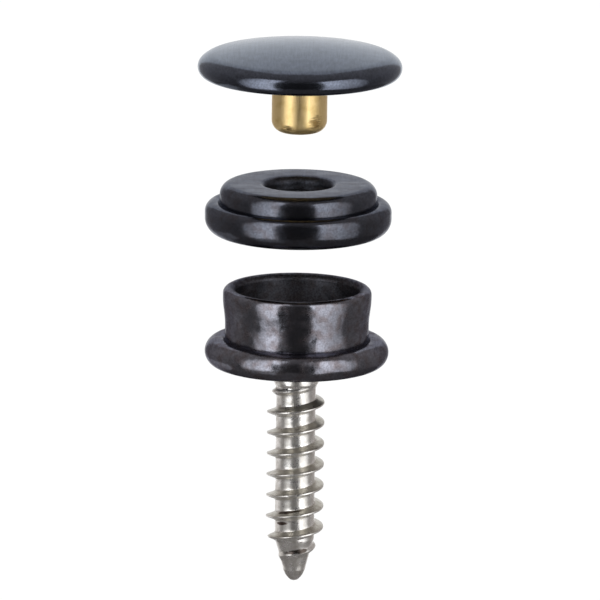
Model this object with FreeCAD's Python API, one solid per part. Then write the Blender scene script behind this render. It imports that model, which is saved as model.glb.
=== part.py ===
import FreeCAD, Part

import math
import os

from FreeCAD import Vector

# A screw-in snap fastener in three parts on one axis: a stud on its wood screw, a socket
# with a spring ring, and a cap with a hollow post that is set through cloth into the socket.
# The origin is the centre of the stud's seat, on the surface that the stud is screwed to.
# +Z runs along the screw's axis, away from that surface. Lengths are in millimetres, and
# radii and heights are those of outer faces unless a name says otherwise.

# Stud, drawn from one sheet: hem, rolled flange, groove, waisted neck, folded rim, well, floor
stud_sheet = 0.35
stud_height = 5.85
neck_radius = 5.32
head_bulge = 0.18
bulge_drop = 1.05
flange_width = 1.48
flange_thickness = 2.06
flange_groove_depth = 0.36
flange_hem_width = 0.8
flange_crest_run = 0.21
well_wall_gap = 0.05
floor_bend_inside = 0.45
waist_bend = 5.0

# Wood screw with a pan head that sits on the floor of the well
screw_reach = 16.4
screw_hole_clearance = 0.07
thread_radius = 2.13
thread_pitch = 1.58
ridge_height = 0.67
ridge_base = 0.75
ridge_crest = 0.12
ridge_root_sink = 0.12
shank_radius = 1.65
shank_below_seat = 1.3
shank_taper = 0.4
point_length = 3.25
tip_length = 1.2
tip_base_radius = 0.88
tip_end_radius = 0.3
tip_end_height = 0.1
tip_bulge = 0.125
thread_rise = 1.5
thread_fall = 2.7
thread_end_height = 0.95
thread_end_sink = 0.2
crest_on_minus_x = 3.57
screw_head_clearance = 0.5
screw_head_height = 2.3
screw_head_crown = 0.35
screw_head_corner = 0.9
recess_depth = 1.35
recess_radius = 2.1
recess_tip_radius = 0.55
recess_wing_width = 0.95

# Spring ring, a split wire ring that grips the stud's waist
ring_wire_radius = 0.35
ring_clearance = 0.03
ring_gap_degrees = 28

# Socket shell, drawn from one sheet: lip, top, hub, groove, rolled brim, hem
socket_sheet = 0.27
hub_clearance = 0.05
hub_corner_inside = 0.6
hub_top_clearance = 0.1
socket_seat_gap = 0.38
lip_bend_inside = 0.33
lip_length = 0.95
brim_width = 1.08
brim_groove_depth = 0.45
brim_crest_bend_inside = 0.1
brim_shoulder_bend_inside = 0.45
brim_roll_radius = 1.2
brim_hem_clearance = 0.12
crest_start = 0.35

# Retainer, a dished washer that holds the ring in the brim
retainer_sheet = 0.3
retainer_clearance = 0.03
retainer_bore_clearance = 0.07
retainer_wall_height = 0.85
ring_play = 0.36

# Cap shell, domed, with its edge rolled under the post's flange
cap_radius = 7.55
cap_sheet = 0.35
cap_edge_radius = 0.75
cap_shoulder_radius = 2.0
cap_shoulder_tilt = 43.0
cap_crown_radius = 30.0
cap_hem_width = 1.2

# Cap post, a drawn brass eyelet with a wide flange and a rounded, pierced end
post_sheet = 0.3
post_radius = 2.05
post_reach = 4.1
post_corner_inside = 0.3
post_end_bend_inside = 0.6
post_pierced_radius = 0.75
post_flange_clearance = 0.06
post_hole_clearance = 0.31

# Heights of the loose socket and cap above the seat, laid out apart on the axis
socket_lift = 9.94
cap_lift = 21.73
cloth_thickness = 1.0

# Lengths and radii under this count as none, and a fold with no inside radius has a sharp corner
tiny = 1e-6
sharp_fold = 0.0

# Stud sizes that follow
head_radius = neck_radius + head_bulge
flange_radius = neck_radius + flange_width
neck_middle = neck_radius - stud_sheet / 2
head_middle = head_radius - stud_sheet / 2
well_radius = neck_radius - 2 * stud_sheet - well_wall_gap
well_middle = well_radius + stud_sheet / 2
screw_hole_radius = thread_radius + screw_hole_clearance
screw_head_radius = well_radius - screw_head_clearance

# Socket sizes that follow: it fits over the stud's head, with the ring at the stud's waist
hub_inner_radius = head_radius + hub_clearance
hub_middle = hub_inner_radius + socket_sheet / 2
brim_radius = hub_inner_radius + socket_sheet + brim_width
socket_hole_radius = post_radius + post_hole_clearance
ring_middle_radius = neck_radius + ring_clearance + ring_wire_radius
ring_height = socket_sheet + retainer_sheet + ring_clearance + ring_wire_radius
groove_underside = ring_height + ring_wire_radius + ring_play
brim_height = groove_underside + socket_sheet + brim_groove_depth
socket_seated = flange_thickness + socket_seat_gap
socket_height = stud_height + hub_top_clearance - socket_seated + socket_sheet
waist_height = socket_seated + ring_height


def bend_limits(points, bends):
    """The bend radii along the middle of a sheet, each shortened where a run is too short for it."""
    runs = [b - a for a, b in zip(points, points[1:])]
    half_turns = [a.getAngle(b) / 2 for a, b in zip(runs, runs[1:])]
    reach = [0.0] + [bend * math.tan(half) for bend, half in zip(bends[1:-1], half_turns)] + [0.0]
    share = [min(1.0, run.Length / max(a + b, tiny)) for run, a, b in zip(runs, reach, reach[1:])]
    limited = [bend * min(before, after) for bend, before, after in zip(bends[1:-1], share, share[1:])]
    return [0.0] + limited + [0.0]


def sheet_face(points, bends, side):
    """Edges of one face of a sheet: its middle line moved sideways, with its corners rounded."""
    runs = [(b - a).normalize() for a, b in zip(points, points[1:])]
    normals = [Vector(-run.z, 0, run.x) for run in runs]
    corners = [points[0] + normals[0] * side]
    for point, a, b in zip(points[1:-1], normals, normals[1:]):
        corners.append(point + (a + b) * (side / (1 + a.dot(b))))
    corners.append(points[-1] + normals[-1] * side)
    edges = []
    start = corners[0]
    for corner, bend, before, after in zip(corners[1:-1], bends[1:-1], runs, runs[1:]):
        turn = math.copysign(before.getAngle(after), before.x * after.z - before.z * after.x)
        radius = bend - math.copysign(side, side * turn)
        reach = radius * math.tan(abs(turn) / 2)
        inward = (after - before).normalize()
        middle = corner + inward * (radius / math.cos(turn / 2) - radius)
        arc_start = corner - before * reach
        if (arc_start - start).Length > tiny:
            edges.append(Part.LineSegment(start, arc_start).toShape())
        start = corner + after * reach
        if radius > tiny:
            edges.append(Part.Arc(arc_start, middle, start).toShape())
    edges.append(Part.LineSegment(start, corners[-1]).toShape())
    return edges


def outline_face(edges):
    return Part.Face(Part.Wire(Part.__sortEdges__(edges)))


def turned(face, degrees=360):
    return face.revolve(Vector(0, 0, 0), Vector(0, 0, 1), degrees)


def drawn_sheet(path, sheet):
    """A round piece of sheet metal. The path along the middle of its section is a list of
    (radius, height, bend), where bend is the radius inside that corner's bend."""
    points = [Vector(radius, 0, height) for radius, height, bend in path]
    bends = bend_limits(points, [bend + sheet / 2 for radius, height, bend in path])
    left = sheet_face(points, bends, sheet / 2)
    right = sheet_face(points, bends, -sheet / 2)
    ends = [
        Part.LineSegment(left[0].Vertexes[0].Point, right[0].Vertexes[0].Point).toShape(),
        Part.LineSegment(left[-1].Vertexes[-1].Point, right[-1].Vertexes[-1].Point).toShape(),
    ]
    return turned(outline_face(left + right + ends))


def stud_shell():
    hem_height = stud_sheet / 2
    flange_top = flange_thickness - stud_sheet / 2
    flange_middle = flange_radius - stud_sheet / 2
    flange_bend = flange_thickness / 2 - stud_sheet
    hem_end = flange_radius - flange_thickness / 2 - flange_hem_width
    crest = flange_radius - flange_thickness / 2 - flange_crest_run
    rim_top = stud_height - stud_sheet / 2
    rim_bend = head_middle - well_middle - stud_sheet
    path = [
        (hem_end, hem_height, 0),
        (flange_middle, hem_height, flange_bend),
        (flange_middle, flange_top, flange_bend),
        (crest, flange_top, sharp_fold),
        (neck_middle, flange_top - flange_groove_depth, sharp_fold),
        (neck_middle, waist_height, waist_bend),
        (head_middle, stud_height - bulge_drop, waist_bend),
        (head_middle, rim_top, rim_bend),
        (well_middle, rim_top, sharp_fold),
        (well_middle, hem_height, floor_bend_inside),
        (screw_hole_radius, hem_height, 0),
    ]
    return drawn_sheet(path, stud_sheet)


def thread_crest_radius(height):
    """Radius of the thread's crest: it rises out of the shank and sinks towards the point."""
    full_top = -shank_below_seat - thread_rise
    full_bottom = -screw_reach + thread_end_height + thread_fall
    if height > full_top:
        share = (height - full_top) / thread_rise
        return thread_radius + (shank_radius - thread_end_sink - thread_radius) * share
    if height < full_bottom:
        share = (full_bottom - height) / thread_fall
        return thread_radius + (tip_base_radius - thread_end_sink - thread_radius) * share
    return thread_radius


def thread_point(height):
    """The point of the crest's helix at this height, on a right-hand thread."""
    turn = math.pi + 2 * math.pi * (height + crest_on_minus_x) / thread_pitch
    radius = thread_crest_radius(height)
    return Vector(radius * math.cos(turn), radius * math.sin(turn), height)


def thread_ridge():
    """The screw's ridge: a trapezoid swept along a helix that narrows at both of its ends."""
    points_per_turn = 20
    top = -shank_below_seat
    bottom = -screw_reach + thread_end_height
    steps = round(points_per_turn * (top - bottom) / thread_pitch)
    helix = Part.BSplineCurve()
    helix.interpolate([thread_point(bottom + (top - bottom) * i / steps) for i in range(steps + 1)])
    start = thread_point(bottom)
    outwards = Vector(start.x, start.y, 0).normalize()
    depth = ridge_height + ridge_root_sink
    half_base = Vector(0, 0, ridge_base / 2)
    half_crest = Vector(0, 0, ridge_crest / 2)
    root = start - outwards * depth
    section = Part.makePolygon(
        [start + half_crest, root + half_base, root - half_base, start - half_crest, start + half_crest]
    )
    sweep = Part.BRepOffsetAPI.MakePipeShell(Part.Wire([helix.toShape()]))
    sweep.setBiNormalMode(Vector(0, 0, 1))
    sweep.add(section)
    sweep.build()
    sweep.makeSolid()
    return sweep.shape()


def cross_recess(top):
    """A cross-shaped driver recess, its wings drawn in to a blunt point."""
    cone = Part.makeCone(recess_tip_radius, recess_radius, recess_depth, Vector(0, 0, top - recess_depth))
    span = 2 * recess_radius
    corner = Vector(-span / 2, -recess_wing_width / 2, top - recess_depth)
    wing = Part.makeBox(span, recess_wing_width, recess_depth, corner)
    across = wing.copy()
    across.rotate(Vector(0, 0, 0), Vector(0, 0, 1), 90)
    return cone.common(wing.fuse(across))


def screw():
    """The screw's outline is turned, then its thread is added and its recess is cut."""
    head_bottom = stud_sheet
    head_top = head_bottom + screw_head_height
    corner_height = head_top - screw_head_crown
    core = thread_radius - ridge_height
    corner_drop = screw_head_corner * (1 - math.sqrt(0.5))
    corner_middle = Vector(screw_head_radius - corner_drop, 0, corner_height - corner_drop)
    outline = [
        Vector(screw_head_radius, 0, corner_height - screw_head_corner),
        Vector(screw_head_radius, 0, head_bottom),
        Vector(shank_radius, 0, head_bottom),
        Vector(shank_radius, 0, -shank_below_seat),
        Vector(core, 0, -shank_below_seat - shank_taper),
        Vector(core, 0, -screw_reach + point_length),
        Vector(tip_base_radius, 0, -screw_reach + tip_length),
    ]
    tip_shoulder = Vector(tip_end_radius, 0, -screw_reach + tip_end_height)
    tip_slope = (tip_shoulder - outline[-1]).normalize()
    tip_middle = (outline[-1] + tip_shoulder) / 2 + Vector(-tip_slope.z, 0, tip_slope.x) * tip_bulge
    axis_end = Vector(0, 0, -screw_reach)
    crown_top = Vector(0, 0, head_top)
    crown_edge = Vector(screw_head_radius - screw_head_corner, 0, corner_height)
    # Half way out, a crown this shallow has dropped by a quarter of its height
    crown_middle = Vector(crown_edge.x / 2, 0, head_top - screw_head_crown / 4)
    edges = [Part.LineSegment(a, b).toShape() for a, b in zip(outline, outline[1:])]
    edges += [
        Part.Arc(outline[-1], tip_middle, tip_shoulder).toShape(),
        Part.LineSegment(tip_shoulder, axis_end).toShape(),
        Part.LineSegment(axis_end, crown_top).toShape(),
        Part.Arc(crown_top, crown_middle, crown_edge).toShape(),
        Part.Arc(crown_edge, corner_middle, outline[0]).toShape(),
    ]
    blank = turned(outline_face(edges))
    return blank.fuse(thread_ridge()).cut(cross_recess(head_top))


def spring_ring():
    """A wire ring, open where its two ends face each other."""
    centre = Vector(ring_middle_radius, 0, socket_lift + ring_height)
    wire = Part.Face(Part.Wire([Part.makeCircle(ring_wire_radius, centre, Vector(0, 1, 0))]))
    ring = turned(wire, 360 - ring_gap_degrees)
    ring.rotate(Vector(0, 0, 0), Vector(0, 0, 1), 90 + ring_gap_degrees / 2)
    return ring


def socket_shell():
    lip_middle = socket_hole_radius + socket_sheet / 2
    top = socket_lift + socket_height - socket_sheet / 2
    groove = socket_lift + groove_underside + socket_sheet / 2
    crest = socket_lift + brim_height - socket_sheet / 2
    hem = socket_lift + socket_sheet / 2
    brim_middle = brim_radius - socket_sheet / 2
    hem_end = head_radius + brim_hem_clearance
    path = [
        (lip_middle, socket_lift + socket_height - lip_length, 0),
        (lip_middle, top, lip_bend_inside),
        (hub_middle, top, hub_corner_inside),
        (hub_middle, groove, sharp_fold),
        (hub_middle + crest_start, crest, brim_crest_bend_inside),
        (brim_middle, crest, brim_shoulder_bend_inside),
        (brim_middle, hem, brim_roll_radius - socket_sheet),
        (hem_end, hem, 0),
    ]
    return drawn_sheet(path, socket_sheet)


def socket_retainer():
    height = socket_lift + socket_sheet + retainer_sheet / 2
    wall_middle = brim_radius - socket_sheet - retainer_clearance - retainer_sheet / 2
    bend = brim_roll_radius - socket_sheet - retainer_clearance - retainer_sheet
    path = [
        (head_radius + retainer_bore_clearance, height, 0),
        (wall_middle, height, bend),
        (wall_middle, height + retainer_wall_height, 0),
    ]
    return drawn_sheet(path, retainer_sheet)


def step_from(centre, tilt, distance):
    """A point at this distance from a centre, on a line tilted outwards from straight up."""
    return centre + Vector(math.sin(tilt), 0, math.cos(tilt)) * distance


def cap_shell_face(inset):
    """Edges of the cap shell's outer face, or of the face at this depth inside it: a flat
    crown, a rounder shoulder and a rolled edge, each an arc tangent to the next, and a hem."""
    shoulder_tilt = math.radians(cap_shoulder_tilt)
    edge_centre = Vector(cap_radius - cap_edge_radius, 0, cap_lift + cap_edge_radius)
    shoulder_centre = step_from(edge_centre, shoulder_tilt, cap_edge_radius - cap_shoulder_radius)
    crown_tilt = math.asin(shoulder_centre.x / (cap_crown_radius - cap_shoulder_radius))
    crown_centre = step_from(shoulder_centre, crown_tilt, cap_shoulder_radius - cap_crown_radius)
    crown_middle = step_from(crown_centre, crown_tilt / 2, cap_crown_radius - inset)
    crown_top = step_from(crown_centre, 0, cap_crown_radius - inset)
    crown_end = step_from(crown_centre, crown_tilt, cap_crown_radius - inset)
    shoulder = cap_shoulder_radius - inset
    shoulder_middle = step_from(shoulder_centre, (crown_tilt + shoulder_tilt) / 2, shoulder)
    shoulder_end = step_from(shoulder_centre, shoulder_tilt, shoulder)
    edge_middle = step_from(edge_centre, (shoulder_tilt + math.pi) / 2, cap_edge_radius - inset)
    edge_end = step_from(edge_centre, math.pi, cap_edge_radius - inset)
    return [
        Part.Arc(crown_top, crown_middle, crown_end).toShape(),
        Part.Arc(crown_end, shoulder_middle, shoulder_end).toShape(),
        Part.Arc(shoulder_end, edge_middle, edge_end).toShape(),
        Part.LineSegment(edge_end, edge_end - Vector(cap_hem_width, 0, 0)).toShape(),
    ]


def cap_shell():
    outside = cap_shell_face(0)
    inside = cap_shell_face(cap_sheet)
    ends = [
        Part.LineSegment(outside[0].Vertexes[0].Point, inside[0].Vertexes[0].Point).toShape(),
        Part.LineSegment(outside[-1].Vertexes[-1].Point, inside[-1].Vertexes[-1].Point).toShape(),
    ]
    return turned(outline_face(outside + inside + ends))


def cap_post():
    flange = cap_lift + cap_sheet + post_sheet / 2
    post_middle = post_radius - post_sheet / 2
    post_end = cap_lift - post_reach + post_sheet / 2
    path = [
        (cap_radius - cap_edge_radius - post_flange_clearance, flange, 0),
        (post_middle, flange, post_corner_inside),
        (post_middle, post_end, post_end_bend_inside),
        (post_pierced_radius, post_end, 0),
    ]
    return drawn_sheet(path, post_sheet)


pieces = {
    "stud_shell": stud_shell(),
    "screw": screw(),
    "spring_ring": spring_ring(),
    "socket_shell": socket_shell(),
    "socket_retainer": socket_retainer(),
    "cap_shell": cap_shell(),
    "cap_post": cap_post(),
}

os.makedirs("parts", exist_ok=True)
for name, shape in pieces.items():
    shape.exportStep(f"parts/{name}.step")
    print(name, "volume", round(shape.Volume, 2), "valid", shape.isValid(), "solids", len(shape.Solids))

print("socket travel to the stud", round(socket_lift - socket_seated, 3))
print("cap travel to the socket", round(cap_lift - socket_lift - socket_height - cloth_thickness, 3))
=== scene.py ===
# %% [markdown]
# # A screw-in snap fastener, dressed for its portrait
#
# The real fastener is three parts on one axis: a black stud on its stainless wood screw, a black
# socket that snaps over the stud, and a black domed cap with a brass post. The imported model
# gives the frame: where every piece is, how large it is, and which body carries it. Blender
# gives each visible piece a finer mesh and its finish, and never moves anything.

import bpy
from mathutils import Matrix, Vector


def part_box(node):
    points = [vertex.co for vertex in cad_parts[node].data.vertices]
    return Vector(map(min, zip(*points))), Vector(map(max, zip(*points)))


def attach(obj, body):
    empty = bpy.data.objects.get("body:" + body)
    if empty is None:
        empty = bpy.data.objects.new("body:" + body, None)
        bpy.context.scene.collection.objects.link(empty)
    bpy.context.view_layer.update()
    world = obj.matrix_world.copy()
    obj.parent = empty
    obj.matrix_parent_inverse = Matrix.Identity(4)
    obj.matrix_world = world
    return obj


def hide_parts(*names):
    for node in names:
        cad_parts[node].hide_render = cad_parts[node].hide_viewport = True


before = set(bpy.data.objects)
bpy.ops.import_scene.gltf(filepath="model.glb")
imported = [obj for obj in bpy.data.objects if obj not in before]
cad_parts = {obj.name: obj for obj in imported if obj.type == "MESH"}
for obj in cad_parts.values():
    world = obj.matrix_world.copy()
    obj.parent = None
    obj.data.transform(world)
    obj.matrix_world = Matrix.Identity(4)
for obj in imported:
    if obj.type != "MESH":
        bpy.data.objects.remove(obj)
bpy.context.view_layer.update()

# %% [markdown]
# ## Working at a handy scale
#
# The frame is in metres, and this fastener is only 15 mm across. Blender's welding and bevelling
# tolerances suit things of about a metre, so each piece is modelled a thousand times as large,
# with one unit for one millimetre, and its last step brings it down to size.

# %% Modules and units
import math

import bmesh
import bpy
from mathutils import Quaternion, Vector

MM = 0.001


def box_mm(node):
    """Lowest and highest corner of a node of the frame, in millimetres."""
    low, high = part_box(node)
    return low / MM, high / MM


stud_low, stud_high = box_mm("stud_shell")
screw_low, screw_high = box_mm("screw")
socket_low, socket_high = box_mm("socket_shell")
cap_low, cap_high = box_mm("cap_shell")
post_low, post_high = box_mm("cap_post")
print("stud", round(stud_low.z, 2), "to", round(stud_high.z, 2), "mm")
print("socket from", round(socket_low.z, 2), "cap from", round(cap_low.z, 2), "mm")

# %% [markdown]
# ## One way to model drawn sheet metal
#
# Every black piece and the brass post began as a flat round blank that was pressed into shape,
# so each has one even wall all over. The best model of such a piece is its own making: draw the
# middle line of the wall's section as a chain of straight runs, round each corner to the bend's
# radius, spin the line about the axis, and only then give it the sheet's thickness.
#
# The line starts as a plane merged to one point, and grows by extruding that point. A vertex
# bevel makes each bend: its offset is the radius times the tangent of half the turn.

# %% Drawing the section of a sheet
BEND_CHORD = 0.085
FEWEST_CHORDS = 3


def only(piece):
    """Leave this piece alone selected and active, in object mode."""
    bpy.ops.object.select_all(action="DESELECT")
    piece.select_set(True)
    bpy.context.view_layer.objects.active = piece


def single_point(name, radius, height):
    """A new piece with one vertex, where the section of a round piece begins."""
    bpy.ops.object.select_all(action="DESELECT")
    bpy.ops.mesh.primitive_plane_add(size=1.0, location=(radius, 0, height))
    piece = bpy.context.object
    piece.name = piece.data.name = name
    bpy.ops.object.transform_apply(location=True, rotation=False, scale=False)
    bpy.ops.object.mode_set(mode="EDIT")
    bpy.ops.mesh.merge(type="CENTER")
    return piece


def extrude_to(points):
    """Extrude the selected vertex through these points of the section."""
    for here, there in zip(points, points[1:]):
        step = there - here
        bpy.ops.mesh.extrude_vertices_move(TRANSFORM_OT_translate={"value": step})


def select_vertex_at(piece, point):
    """Select only the vertex nearest to a point."""
    bpy.ops.mesh.select_all(action="DESELECT")
    mesh = bmesh.from_edit_mesh(piece.data)
    nearest = min(mesh.verts, key=lambda vertex: (vertex.co - point).length)
    nearest.select_set(True)
    mesh.select_flush_mode()
    bmesh.update_edit_mesh(piece.data)


def round_corner(piece, corner, turn, radius):
    """Bend the line at one corner to this radius, in chords of about the same length."""
    select_vertex_at(piece, corner)
    segments = max(FEWEST_CHORDS, round(radius * turn / BEND_CHORD))
    offset = radius * math.tan(turn / 2)
    bpy.ops.mesh.bevel(offset=offset, segments=segments, affect="VERTICES", clamp_overlap=False)


def draw_section(piece, path, sheet):
    """The middle line of a sheet's section. The path is a list of (radius, height, inside bend)."""
    points = [Vector((radius, 0, height)) for radius, height, bend in path]
    bpy.context.tool_settings.mesh_select_mode = (True, False, False)
    extrude_to(points)
    runs = [after - before for before, after in zip(points, points[1:])]
    for i in range(1, len(points) - 1):
        turn = runs[i - 1].angle(runs[i])
        radius = path[i][2] + sheet / 2
        fits = min(runs[i - 1].length, runs[i].length)
        round_corner(piece, points[i], turn, min(radius, fits / math.tan(turn / 2)))


print("bends are drawn in chords of about", BEND_CHORD, "mm")

# %% [markdown]
# Spinning leaves a seam where the last copy of the line meets the first, and a fan of doubled
# points where a line touches the axis. Both are welded before anything else. Normals are made
# consistent next, because Solidify reads them, and on a closed wall it would be too late.

# %% Spinning the section and giving it a wall
SPIN_STEPS = 160
MERGE_DISTANCE = 0.0005
EDGE_ROUND = 0.03
EDGE_ANGLE = math.radians(50)
SMOOTH_ANGLE = math.radians(40)


def spin_section():
    """Turn the section once about the axis, weld its seam and point its faces outwards."""
    bpy.ops.mesh.select_all(action="SELECT")
    bpy.ops.mesh.spin(
        steps=SPIN_STEPS, angle=2 * math.pi, center=(0, 0, 0), axis=(0, 0, 1), use_auto_merge=True
    )
    bpy.ops.mesh.select_all(action="SELECT")
    bpy.ops.mesh.remove_doubles(threshold=MERGE_DISTANCE)
    bpy.ops.mesh.normals_make_consistent(inside=False)
    bpy.ops.object.mode_set(mode="OBJECT")


def apply_modifier(piece, kind, **settings):
    """Add a modifier to the piece, set it and apply it."""
    only(piece)
    modifier = piece.modifiers.new(kind.title(), kind)
    for setting, value in settings.items():
        setattr(modifier, setting, value)
    bpy.ops.object.modifier_apply(modifier=modifier.name)


def give_wall(piece, sheet):
    """Thicken the surface to the sheet's gauge about its middle, and ease its cut edges."""
    apply_modifier(piece, "SOLIDIFY", thickness=sheet, offset=0, use_even_offset=True)
    apply_modifier(
        piece,
        "BEVEL",
        width=EDGE_ROUND,
        segments=2,
        limit_method="ANGLE",
        angle_limit=EDGE_ANGLE,
    )


def to_size(piece):
    """Bring a piece from millimetres to metres, with its place in its mesh, and smooth it."""
    only(piece)
    piece.scale = (MM, MM, MM)
    bpy.ops.object.transform_apply(location=True, rotation=True, scale=True)
    bpy.ops.object.shade_smooth_by_angle(angle=SMOOTH_ANGLE)
    low, high = [
        [round(end(vertex.co[i] for vertex in piece.data.vertices) / MM, 2) for i in range(3)]
        for end in (min, max)
    ]
    triangles = sum(len(face.vertices) - 2 for face in piece.data.polygons)
    print(piece.name, "from", low, "to", high, "with", triangles, "triangles")


def drawn_piece(name, path, sheet):
    """A round piece of drawn sheet: its section, spun, with its wall."""
    piece = single_point(name, path[0][0], path[0][1])
    draw_section(piece, path, sheet)
    spin_section()
    give_wall(piece, sheet)
    to_size(piece)
    return piece


print("one turn about the axis has", SPIN_STEPS, "steps")

# %% [markdown]
# ## The stud
#
# The stud's blank is drawn down into a well that holds the screw's head, folded over at the rim,
# brought down outside as a slightly waisted neck, creased, rolled out as the flange and tucked
# in flat underneath. All of that is one line, so it is one piece here too.

# %% The stud's shell
STUD_SHEET = 0.35
NECK_RADIUS = 5.32
HEAD_BULGE = 0.18
BULGE_DROP = 1.05
WAIST_HEIGHT = 3.39
WAIST_BEND = 5.0
FLANGE_THICKNESS = 2.06
FLANGE_CREST_RUN = 0.21
FLANGE_GROOVE = 0.36
FLANGE_HEM = 0.8
WELL_RADIUS = 4.57
FLOOR_BEND = 0.45
SCREW_HOLE_RADIUS = 2.2
CREASE_BEND = 0.04


def stud_path():
    """From the flange's tucked end round the flange, up the neck and down the well to its hole."""
    flange_radius = stud_high.x
    flange_middle = flange_radius - STUD_SHEET / 2
    flange_top = FLANGE_THICKNESS - STUD_SHEET / 2
    flange_bend = FLANGE_THICKNESS / 2 - STUD_SHEET
    neck = NECK_RADIUS - STUD_SHEET / 2
    head = neck + HEAD_BULGE
    well = WELL_RADIUS + STUD_SHEET / 2
    rim_top = stud_high.z - STUD_SHEET / 2
    rim_bend = (head - well - STUD_SHEET) / 2
    hem = STUD_SHEET / 2
    return [
        (flange_radius - FLANGE_THICKNESS / 2 - FLANGE_HEM, hem, 0),
        (flange_middle, hem, flange_bend),
        (flange_middle, flange_top, flange_bend),
        (flange_radius - FLANGE_THICKNESS / 2 - FLANGE_CREST_RUN, flange_top, CREASE_BEND),
        (neck, flange_top - FLANGE_GROOVE, CREASE_BEND),
        (neck, WAIST_HEIGHT, WAIST_BEND),
        (head, stud_high.z - BULGE_DROP, WAIST_BEND),
        (head, rim_top, rim_bend),
        (well, rim_top, rim_bend),
        (well, hem, FLOOR_BEND),
        (SCREW_HOLE_RADIUS, hem, 0),
    ]


stud = drawn_piece("drawn_stud", stud_path(), STUD_SHEET)

# %% [markdown]
# ## The socket
#
# The socket is a hat: its hole has a turned-in lip, its hub fits over the stud's head, and its
# brim is rolled round the spring ring and the retainer and hemmed under them.

# %% The socket's shell
SOCKET_SHEET = 0.27
HUB_RADIUS = 5.82
HUB_CORNER = 0.6
LIP_RADIUS = 2.36
LIP_BEND = 0.33
LIP_LENGTH = 0.95
BRIM_CREST = 2.38
BRIM_GROOVE = 0.45
BRIM_CREST_BEND = 0.1
BRIM_SHOULDER_BEND = 0.45
BRIM_ROLL = 1.2
CREST_START = 0.35
SOCKET_HEM_RADIUS = 5.62


def socket_path():
    """From the lip of the hole over the hub, down to the groove, round the brim to the hem."""
    middle = SOCKET_SHEET / 2
    lip = LIP_RADIUS + middle
    top = socket_high.z - middle
    hub = HUB_RADIUS - middle
    brim = socket_high.x - middle
    crest = socket_low.z + BRIM_CREST - middle
    hem = socket_low.z + middle
    return [
        (lip, socket_high.z - LIP_LENGTH, 0),
        (lip, top, LIP_BEND),
        (hub, top, HUB_CORNER),
        (hub, crest - BRIM_GROOVE, CREASE_BEND),
        (hub + CREST_START, crest, BRIM_CREST_BEND),
        (brim, crest, BRIM_SHOULDER_BEND),
        (brim, hem, BRIM_ROLL - SOCKET_SHEET),
        (SOCKET_HEM_RADIUS, hem, 0),
    ]


socket = drawn_piece("drawn_socket", socket_path(), SOCKET_SHEET)

# %% [markdown]
# ## The cap's post
#
# The post is an eyelet: a wide flange that the cap's edge grips, a tube, and an end that is
# rounded in and pierced, ready to be rolled out inside the socket.

# %% The brass post
POST_SHEET = 0.3
POST_RADIUS = 2.05
POST_CORNER = 0.3
POST_END_BEND = 0.6
POST_HOLE_RADIUS = 0.75


def post_path():
    """From the flange's edge down the tube to the pierced end."""
    middle = POST_SHEET / 2
    tube = POST_RADIUS - middle
    return [
        (post_high.x, post_high.z - middle, 0),
        (tube, post_high.z - middle, POST_CORNER),
        (tube, post_low.z + middle, POST_END_BEND),
        (POST_HOLE_RADIUS, post_low.z + middle, 0),
    ]


post = drawn_piece("brass_post", post_path(), POST_SHEET)

# %% [markdown]
# ## The cap
#
# The cap's section is a run of arcs, each tangent to the next: a nearly flat crown, a tighter
# shoulder, and an edge rolled right under to grip the post's flange. Spin draws such a line
# directly: a point turned about each arc's centre leaves the arc behind it. The radii here are
# those of the wall's middle.

# %% The cap's shell
CAP_SHEET = 0.35
CAP_EDGE_RADIUS = 0.75
CAP_SHOULDER_RADIUS = 2.0
CAP_SHOULDER_TILT = math.radians(43)
CAP_CROWN_RADIUS = 30.0
CAP_HEM = 1.2
CAP_CHORD = 0.11
FEWEST_ARC_CHORDS = 4


def leaning(centre, tilt, distance):
    """The point at this distance from a centre, on a line tilted outwards from straight up."""
    return centre + Vector((math.sin(tilt), 0, math.cos(tilt))) * distance


def sweep_arc(centre, tilt_from, tilt_to, radius):
    """Carry the selected vertex along an arc of the section, leaving its edges behind it."""
    angle = tilt_to - tilt_from
    steps = max(FEWEST_ARC_CHORDS, round(radius * angle / CAP_CHORD))
    bpy.ops.mesh.spin(steps=steps, angle=angle, center=centre, axis=(0, -1, 0))


def cap_section():
    """Draw the cap's middle line from the axis, over the crown and under the edge."""
    edge_centre = Vector((cap_high.x - CAP_EDGE_RADIUS, 0, cap_low.z + CAP_EDGE_RADIUS))
    shoulder_centre = leaning(edge_centre, CAP_SHOULDER_TILT, CAP_EDGE_RADIUS - CAP_SHOULDER_RADIUS)
    crown_tilt = math.asin(shoulder_centre.x / (CAP_CROWN_RADIUS - CAP_SHOULDER_RADIUS))
    crown_centre = leaning(shoulder_centre, crown_tilt, CAP_SHOULDER_RADIUS - CAP_CROWN_RADIUS)
    top = leaning(crown_centre, 0, CAP_CROWN_RADIUS - CAP_SHEET / 2)
    piece = single_point("domed_cap", top.x, top.z)
    sweep_arc(crown_centre, 0, crown_tilt, CAP_CROWN_RADIUS)
    sweep_arc(shoulder_centre, crown_tilt, CAP_SHOULDER_TILT, CAP_SHOULDER_RADIUS)
    sweep_arc(edge_centre, CAP_SHOULDER_TILT, math.pi, CAP_EDGE_RADIUS)
    bpy.ops.mesh.extrude_vertices_move(TRANSFORM_OT_translate={"value": (-CAP_HEM, 0, 0)})
    return piece


cap = cap_section()
spin_section()
give_wall(cap, CAP_SHEET)
to_size(cap)

# %% [markdown]
# ## The wood screw
#
# The thread was rolled into the shank, so its root has a small fillet and its crest isn't quite
# sharp. One pitch of that outline, repeated by the Screw modifier, gives a long even thread. The
# real one grows out of the shank and dies away on the point, so each vertex is then moved in or
# out: what was the root follows the core's outline, and what was the crest follows the thread's.

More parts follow.
